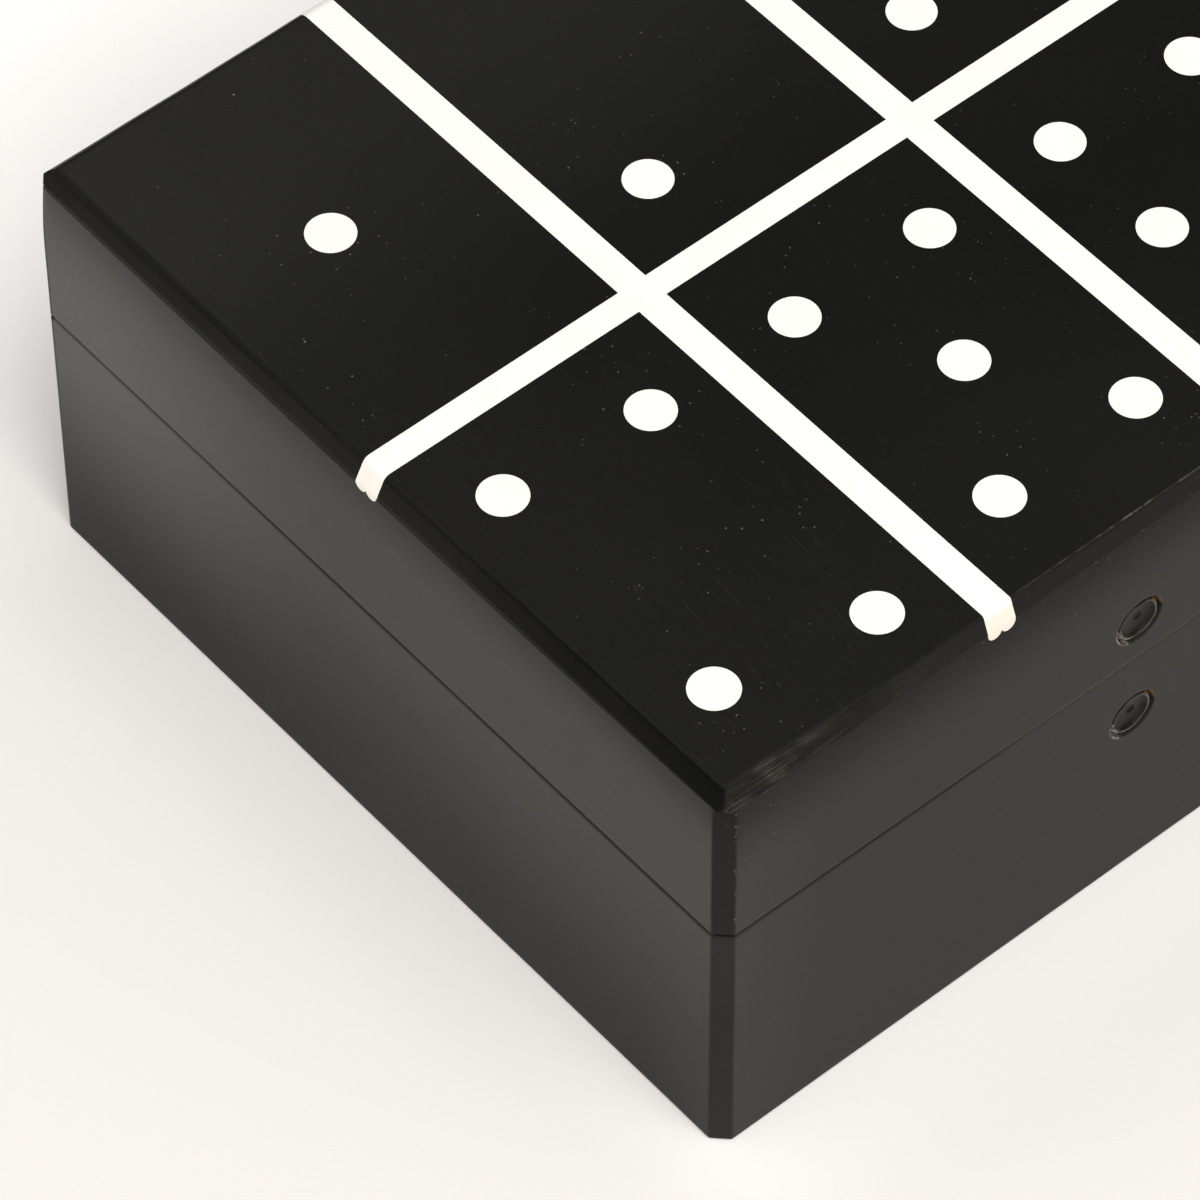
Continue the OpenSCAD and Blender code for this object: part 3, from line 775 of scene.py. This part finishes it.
# The bevel of the front, right, rear and left side, each from left to right seen from outside: its values
# at the start, further along and at the end
bevels = {
    # how far it runs in over the plates
    "runIn": ((2.45, 1.4, 1.55), (1.6, 1.7, 1.9), (2.3, 2.6, 3.0), (2.2, 1.8, 2.0)),
    # how far the wall leans in under it, and over what height
    "lean": ((0.14, 0.28, 0.28), (0.28, 0.32, 0.40), (0.40, 0.80, 0.35), (0.35, 0.04, 0.14)),
    "leanHeight": ((8.0, 8.0, 8.0), (9.0, 9.0, 9.0), (9.0, 11.0, 14.0), (14.0, 10.0, 7.0)),
    # the rounding at its top
    "topRound": ((0.45, 0.35, 0.6), (0.6, 0.8, 1.0), (1.0, 1.4, 1.6), (1.4, 0.9, 0.4)),
    # how far its foot lies below the plates
    "footDrop": ((0.0, 0.0, 0.0), (0.0, 0.0, 0.0), (0.0, 0.2, 0.4), (0.4, 0.65, 0.1)),
}


def outerPath(side):
    # The outline of one side from mitre to mitre, p along it and q inwards: half a corner flat, a small
    # round, the face, and the same again
    half, r = box["half"], edges["uprightRound"]
    reach = r * math.tan(math.radians(22.5))
    flat = np.linspace(0, 1, 4)[:-1]
    angle = np.radians(np.linspace(-45, 0, 6))
    away = np.array([0.15, 0.6, 1.3, 2.2, 3.2, 4.4, 5.8, 7.4, 9.2])
    far = np.linspace(14.5, half - 3.8, 25)
    parts = []
    for cut in (edges["wallCut"][side], edges["wallCut"][(side + 1) % 4]):
        start = np.array([-half + cut / 2, cut / 2])
        end = np.array([-half + cut - reach / 2**0.5, reach / 2**0.5])
        flatPoints = start + flat[:, None] * (end - start)
        arcPoints = np.column_stack([-half + cut + reach + r * np.sin(angle), r - r * np.cos(angle)])
        p = np.concatenate([-half + cut + reach + away, -half + far])
        parts.append(np.concatenate([flatPoints, arcPoints, np.column_stack([p, np.zeros(len(p))])]))
    normal = np.concatenate([
        np.tile([-(0.5**0.5), -(0.5**0.5)], (len(flatPoints), 1)),
        np.column_stack([np.sin(angle), -np.cos(angle)]), np.tile([0.0, -1.0], (len(p), 1))])
    mirror = np.array([-1, 1])
    path = np.concatenate([parts[0], parts[1][::-1] * mirror])
    return path, np.concatenate([normal, normal[::-1] * mirror])


paths = [outerPath(side) for side in range(4)]


def smoothStep(v):
    v = np.clip(v, 0, 1)
    return v * v * (3 - 2 * v)


def earlyCurve(values, t):
    # A smooth curve through the values at the start, a quarter in from there and at the end
    a, b, c = values
    turn = 0.27
    early, late = smoothStep(t / turn), smoothStep((t - turn) / (1 - turn))
    return np.where(t < turn, a + (b - a) * early, b + (c - b) * late)


def evenCurve(values, t):
    # The parabola through the values at the start, the middle and the end
    a, b, c = values
    return a * (1 - t) * (1 - 2 * t) + 4 * b * t * (1 - t) + c * t * (2 * t - 1)


def turned(side, u, v):
    # A side's own directions, u along it and v inwards, to the box's x and y
    return ((u, v), (-v, u), (-u, -v), (v, -u))[side]


def toWorld(side, p, q, z):
    # A side's own p, q and z to the box's x, y and z
    x, y = turned(side, p, q - box["half"])
    return np.stack([x, y, z], -1)


def bevelShape(side, t):
    # A side's run in, lean, lean height, top round and foot drop at places t from 0 to 1 along it
    spread = earlyCurve if sideNames[side] == "front" else evenCurve
    wobble = 0.05 * np.sin(t * 23 + side) + 0.03 * np.sin(t * 57 + 2 * side)
    fade = np.clip(np.minimum(t, 1 - t) * 12, 0, 1)
    runIn, *others = [spread(values[side], t) for values in bevels.values()]
    return [runIn + wobble * fade] + [np.maximum(other, 0) for other in others]


def leanAt(lean, leanHeight, z):
    # How far a wall leans in at a height: it grows with the square of the way up its last stretch
    return lean * np.clip((z - box["plateBottom"]) / leanHeight + 1, 0, 1) ** 2


def bevelAt(side, t, z):
    # How far in the outer face lies at a height: leaning in up to the bevel's foot, then up the bevel
    inset, lean, leanHeight, _, drop = bevelShape(side, t)
    foot = box["plateBottom"] - drop
    onBevel = lean + (inset - lean) * (z - foot) / (box["top"] - foot)
    return np.where(z < foot, leanAt(lean, leanHeight, z), onBevel)


def formRows(side, t):
    # Insets and heights of the lid's outer form: leaning in, straight up the bevel, and a round into the top
    inset, lean, _, topRound, drop = bevelShape(side, t)
    foot = box["plateBottom"] - drop
    run, rise = inset - lean, box["top"] - foot
    keep = 1 - topRound / np.hypot(run, rise)
    rows = [(bevelAt(side, t, z), z + 0 * t) for z in (72.0, 73.5, 74.5, 75.5)]
    rows.append((lean, foot))
    rows += [(lean + run * keep * k, foot + rise * keep * k) for k in (0.25, 0.5, 0.75)]
    for k in np.linspace(0, 1, 8):
        start, late = (1 - k) ** 2, 2 * k * (1 - k)
        rows.append((start * (lean + run * keep) + late * inset + k * k * (inset + topRound),
                     start * (foot + rise * keep) + (1 - start) * box["top"]))
    return np.stack([np.stack(row) for row in rows], 1)


def lidForm():
    # The outer form of the lid's top: four sides that meet in sharp mitres, its corners cut off
    ends = np.array([0, 0.001, 0.004, 0.01, 0.02])
    t = np.concatenate([ends, np.linspace(0.04, 0.96, 50), 1 - ends[::-1]])
    sides = [formRows(side, t) for side in range(4)]
    rings = []
    for side, (s, z) in enumerate(sides):
        before, after = sides[(side - 1) % 4][0][:, -1:], sides[(side + 1) % 4][0][:, :1]
        p = -box["half"] + before + t * (2 * box["half"] - before - after)
        rings.append(toWorld(side, p, s, z)[:, :-1])
    form = loftRings("lidForm", np.concatenate(rings, 1))
    reach = [2 * box["half"] - cut for cut in edges["plateCut"]]
    pairs = [(reach[side], reach[(side + 1) % 4]) for side in range(4)]
    ring = np.array([turned(side, (b - a) / 2, -(a + b) / 2) for side, (a, b) in enumerate(pairs)])
    combine(form, prismPiece("block", ring, 60.0, 90.0), "INTERSECT")
    return form


def boardSolid(name, side, stations):
    # One wall board: its outline in plan at each station, given as height, inset and depth of the inner face
    rings = []
    half = box["half"]
    path, normal = paths[side]
    for z, inset, depth in stations:
        moved = path - normal * np.reshape(inset, (-1, 1))
        outer = toWorld(side, moved[:, 0], moved[:, 1], z + np.zeros(len(path)))
        ends = np.array([half - depth, -half + depth])
        inner = toWorld(side, ends, np.array([depth, depth]), outer[[-1, 0], 2])
        rings.append(np.concatenate([outer, inner]))
    return loftRings(name, np.stack(rings))


def roundOver(z, radius, way):
    # Heights and insets of a small round at an edge: way 1 rounds upwards from the edge, -1 ends at the edge
    angle = np.linspace(0, np.pi / 2, edges["roundSteps"] + 1)
    rows = [(z + way * radius * (1 - math.cos(a)), radius * (1 - math.sin(a))) for a in angle]
    return rows if way > 0 else rows[::-1]


def rimWave(side):
    # The seam is tight at the right of the front and opens a little towards the front left corner
    places, amounts = edges["seam"].get(sideNames[side], ((-75, 75), (0, 0)))
    return np.interp(paths[side][0][:, 0], places, amounts)


def footWave(side):
    # The bottom edge was sanded by hand and runs a little uneven
    t = paths[side][0][:, 0]
    ends = np.clip((75 - np.abs(t)) / 14, 0, 1)
    return ends * (0.14 + 0.07 * np.sin(t * 0.21 + side * 2) + 0.05 * np.sin(t * 0.083 + side))


def baseBoard(side):
    wall, thin = box["wall"], box["wall"] - box["rebate"]
    lift = footWave(side)
    foot = roundOver(0, edges["footRound"], 1)
    rim = roundOver(box["baseRim"], edges["rimRound"], -1)
    stations = [(z + lift * (1 - n / edges["roundSteps"]), inset, thin) for n, (z, inset) in enumerate(foot)]
    stations += [(0.9, 0, thin), (box["floorTop"], 0, thin), (box["floorTop"], 0, wall)]
    stations += [(z, 0, wall) for z in (12, 20, 30, 40, box["baseRim"] - 0.6)]
    stations += [(z + rimWave(side), inset, wall - inset) for z, inset in rim]
    return boardSolid(f"base_{sideNames[side]}_board", side, stations)


def lidBoard(side):
    wall, thin = box["wall"], box["wall"] - box["rebate"]
    coreBottom, plateBottom, groove = box["coreBottom"], box["plateBottom"], edges["footGroove"]
    t = (paths[side][0][:, 0] + box["half"]) / (2 * box["half"])
    atCorner = {"left": t[::-1], "rear": t}.get(sideNames[side], 0 * t)
    # the last stretch before the rear left corner leans in more
    more = edges["cornerLean"] * np.clip((atCorner - 0.976) / 0.014, 0, 1)
    foot = plateBottom - bevelShape(side, t)[4]
    lidRim = box["lidRim"]
    rim = roundOver(lidRim, edges["rimRound"], 1)

    def inset(z):
        return bevelAt(side, t, z) + leanAt(more, edges["cornerLeanHeight"], z)

    stations = [(z - rimWave(side), inward, wall - inward) for z, inward in rim]
    stations += [(z, inset(z), wall) for z in (lidRim + 0.6, 56, 62, 64, 66, 67.5, 69, 70, coreBottom)]
    stations += [(z, inset(z), thin) for z in (coreBottom, 72, 73, 74, 75, 75.6, 76.0)]
    # two rows at the bevel's foot, where it lies above the rows so far
    if np.min(foot) > 76.1:
        stations += [(foot - 0.04, inset(foot - 0.04), thin), (foot, inset(foot) + groove, thin)]
    stations.append((plateBottom + 0 * t, inset(plateBottom) + groove, thin))
    return boardSolid(f"lid_{sideNames[side]}_board", side, stations)


inlay = {
    "pitch": 50.0,
    "tileStrip": 5.0,
    "middleStrip": 4.5,
    "tileDepth": 4.7,
    "middleDepth": 4.6,
    "lobeOverlap": 0.03,
}


def stripSolid(across, offset, width, depth):
    # A strip's section, two round lobes at the bottom, carried straight through the box
    r = width / 4 + inlay["lobeOverlap"]
    low = box["top"] - depth + r
    touch = math.acos((width / 2 - r) / r) if width / 2 < 2 * r else 0
    right = np.linspace(0, -np.pi + touch, 12)
    c = width / 2 - r
    rightLobe = np.column_stack([c + r * np.cos(right), low + r * np.sin(right)])
    corner = np.array([(width / 2, box["top"] + 1)])
    section = np.concatenate([corner, rightLobe, rightLobe[:-1][::-1] * (-1, 1), corner * (-1, 1)])[::-1]
    out, z = section[:, 0] + offset, section[:, 1]
    ends = []
    for end in (-76.0, 76.0):
        a = np.full(len(section), end)
        ends.append(np.column_stack([a, out, z] if across else [out, -a, z]))
    return loftRings("strip", np.stack(ends))


def allStrips():
    return [stripSolid(False, -inlay["pitch"] / 2, inlay["tileStrip"], inlay["tileDepth"]),
            stripSolid(False, inlay["pitch"] / 2, inlay["tileStrip"], inlay["tileDepth"]),
            stripSolid(True, 0, inlay["middleStrip"], inlay["middleDepth"])]


hinge = {"x": 45.0, "width": 25.0, "leafIn": 8.0, "leaf": 1.4}


def seatTool(z):
    # The sunk seat and the bore of a rivet, as a stepped rod along Y
    seat, shank, deep = catch["seat"] / 2, catch["shank"] / 2, catch["seatDepth"]
    inside = ((shank, 12.0), (shank, deep), (seat - 0.15, deep), (seat, 0.08))
    steps = (*inside, (seat + 0.1, 0.0), (seat + 0.1, -1.0))
    angle = np.arange(cutCorners) * 2 * np.pi / cutCorners
    rings = []
    for r, y in steps:
        across, up = catch["x"] + r * np.cos(angle), z + r * np.sin(angle)
        rings.append(np.column_stack([across, np.full(cutCorners, -box["half"] + y), up]))
    return loftRings("seatTool", np.stack(rings))


def mortiseTools(low, high):
    # Blocks that cut the recesses for the hinge leaves
    for x in (-hinge["x"], hinge["x"]):
        x0, x1 = x - hinge["width"] / 2, x + hinge["width"] / 2
        yield blockPiece((x0, box["half"] - hinge["leafIn"], low), (x1, box["half"] + 1, high))


def makeBoards():
    for side, name in enumerate(sideNames):
        base = baseBoard(side)
        lid = lidBoard(side)
        for strip in allStrips()[:2] if side % 2 == 0 else allStrips()[2:]:
            combine(lid, strip, "DIFFERENCE")
        if name == "front":
            combine(base, seatTool(catch["baseZ"]), "DIFFERENCE")
            combine(lid, seatTool(catch["lidZ"]), "DIFFERENCE")
        if name == "rear":
            for tool in mortiseTools(box["baseRim"] - hinge["leaf"], box["baseRim"] + 1):
                combine(base, tool, "DIFFERENCE")
            for tool in mortiseTools(box["lidRim"] - 1, box["lidRim"] + hinge["leaf"]):
                combine(lid, tool, "DIFFERENCE")
        finishPiece(base, "base", lacquer, [f"base_{name}_wall"])
        finishPiece(lid, "lid", lacquer, [f"lid_{name}_wall"])


def clearTools():
    tools = ("strip", "block", "rod", "seatTool", "lidForm")
    for piece in [o for o in bpy.data.objects if o.name.startswith(tools)]:
        removePiece(piece)


makeBoards()
print("boards made")

pips = {"diameter": 7.5, "depth": 2.5}


def makeTop():
    form = lidForm()
    clear = 1.0
    for tile in range(1, 7):
        column, row = (tile - 1) % 3 - 1, 1 if tile < 4 else -1
        wide, deep = inlay["tileStrip"] / 2, inlay["middleStrip"] / 2
        outer = box["half"] + clear
        x0 = -outer if column < 0 else (column - 0.5) * inlay["pitch"] + wide
        x1 = outer if column > 0 else (column + 0.5) * inlay["pitch"] - wide
        y0, y1 = (deep, outer) if row > 0 else (-outer, -deep)
        plate = blockPiece((x0, y0, box["plateBottom"]), (x1, y1, box["top"] + clear))
        plate.name = plate.data.name = f"facing_plate_{tile}"
        combine(plate, copyPiece(form, "lidFormCopy"), "INTERSECT")
        for n in range(1, tile + 1):
            low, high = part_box(f"pip_{tile}_{n}")
            centre = (low + high) / 2 / mm
            low, high = box["top"] - pips["depth"], box["top"] + clear
            combine(plate, rodPiece(centre.x, centre.y, low, high, pips["diameter"] / 2), "DIFFERENCE")
        finishPiece(plate, "lid", plateBlack, [f"top_plate_{tile}"])
    first, second, middle = allStrips()
    combine(middle, first, "UNION")
    combine(middle, second, "UNION")
    combine(middle, form, "INTERSECT")
    middle.name = middle.data.name = "white_lattice"
    finishPiece(middle, "lid", resin, ["inlay_grid"])


makeTop()
clearTools()
print("top made")

rivet = {
    # radius and depth below the wall's face: the back of the head, its sloping skirt and its crest
    "skirt": ((2.0, 1.21), (3.78, 1.2), (3.88, 1.05), (3.9, 0.85), (3.82, 0.6), (3.66, 0.36), (3.5, 0.2)),
    "crest": ((3.36, 0.12), (3.24, 0.12)),
    "dish": ((3.14, 0.18), (3.05, 0.3), (2.9, 0.5), (2.7, 0.68), (2.4, 0.8), (2.0, 0.85), (1.5, 0.87)),
    "dimple": ((1.0, 0.88), (0.8, 0.91), (0.7, 1.0), (0.55, 1.13), (0.3, 1.17), (0.05, 1.18)),
    "dimpleShift": 0.35,
    "clinchRadius": 3.1,
    "clinchThick": 1.0,
    "around": 96,
}


def makeRivet(name, z, grip, node, body):
    # The section turned round the rivet's axis: skirt, crest, dish and dimple, lumpy under the lacquer
    foot = box["wall"] + grip
    r, thick = rivet["clinchRadius"], rivet["clinchThick"]
    angle = np.linspace(0, np.pi / 2, 6)
    dome = [(r - 0.5 + 0.5 * math.sin(a), foot + thick - 0.5 + 0.5 * math.cos(a)) for a in angle]
    face = [*rivet["skirt"], *rivet["crest"], *rivet["dish"], *rivet["dimple"]]
    section = np.array([(0.05, foot + thick), *dome, (r, foot + 0.02), (r - 0.03, foot), (2.0, foot), *face])
    turn = np.arange(rivet["around"]) * 2 * np.pi / rivet["around"]
    lump = 0.05 * np.sin(3 * turn + z) + 0.03 * np.sin(7 * turn + 2 * z)
    share = np.clip((section[:, 0] - 2.4) / 0.8, 0, 1) * (section[:, 1] < 0.9)
    radius = section[:, :1] + 0 * turn
    depth = section[:, 1:] + share[:, None] * (lump + 0.05)
    shift = rivet["dimpleShift"] * np.clip((2.0 - section[:, :1]) / 1.2, 0, 1) * (section[:, 1:] < 1.19)
    x, y = catch["x"] + shift + radius * np.cos(turn), -box["half"] + depth
    piece = loftRings(name, np.stack([x, y, z + radius * np.sin(turn)], -1))
    finishPiece(piece, body, rivetFinish, [node], 50)


makeRivet("lower_rivet", catch["baseZ"], 3.0, "base_catch_rivet", "base")
makeRivet("upper_rivet", catch["lidZ"], 1.2, "lid_catch_rivet", "lid")
print("rivets made")

lining = {
    "step": 1.6,
    "pile": 0.10,
    "soft": 0.35,  # how far the edges sink
}


def makeLining(name, bottom, node, body):
    # A square of felt: a grid whose edges sink in a soft round, with the pile as small seeded heights; the
    # pile is on top in the base, and below in the lid
    inBase, felted = body == "base", box["feltThick"]
    half = box["feltHalf"]
    count = int(2 * half / lining["step"]) + 1
    rim = half - np.array([0, 0.1, 0.35, 0.7])
    line = np.concatenate([-rim, np.linspace(-half + 1.2, half - 1.2, count), rim[::-1]])
    x, y = np.meshgrid(line, line, indexing="ij")
    edge = np.minimum(half - np.abs(x), half - np.abs(y))
    rng = np.random.default_rng(7)
    pile = rng.normal(0, lining["pile"], x.shape)
    pile = (pile + sum(np.roll(pile, step, axis) for step in (1, -1) for axis in (0, 1))) / 5
    sink = lining["soft"] * np.clip(1 - edge / 0.7, 0, 1) ** 2
    thick = felted - sink - np.abs(pile) * (edge > 0.5)
    upper = thick if inBase else np.full_like(x, felted)
    lower = np.zeros_like(x) if inBase else felted - thick
    n = len(line)
    topPoints = np.stack([x, y, bottom + upper], -1).reshape(-1, 3)
    lowPoints = np.stack([x, y, bottom + lower], -1).reshape(-1, 3)
    quads = gridQuads(n, n, False)
    away, back = np.arange(1, n), np.arange(n - 2, -1, -1)
    ring = np.concatenate([np.arange(n) * n, (n - 1) * n + away, back * n + n - 1, back[:-1]])
    nextRing = np.roll(ring, -1)
    skirt = np.stack([ring + n * n, nextRing + n * n, nextRing, ring], -1)
    faces = np.concatenate([quads, quads[:, ::-1] + n * n, skirt])
    piece = fillMesh(name, np.concatenate([topPoints, lowPoints]), faces)
    finishPiece(piece, body, felt, [node], 60)


makeLining("base_felt", box["floorTop"], "base_lining", "base")
makeLining("lid_felt", box["coreBottom"] - box["feltThick"], "lid_lining", "lid")
print("linings made")

# The finish of the nodes that are kept as they are, by the starts of their names; the panels are plain board
nodeFinish = {
    "pip_": resin, "hinge": brass, "catch_holder": plastic, "catch_magnet": magnetMetal, "strike": steel}
for name, node in nodes.items():
    chosen = next((material for start, material in nodeFinish.items() if name.startswith(start)), board)
    node.data.materials.clear()
    node.data.materials.append(chosen)
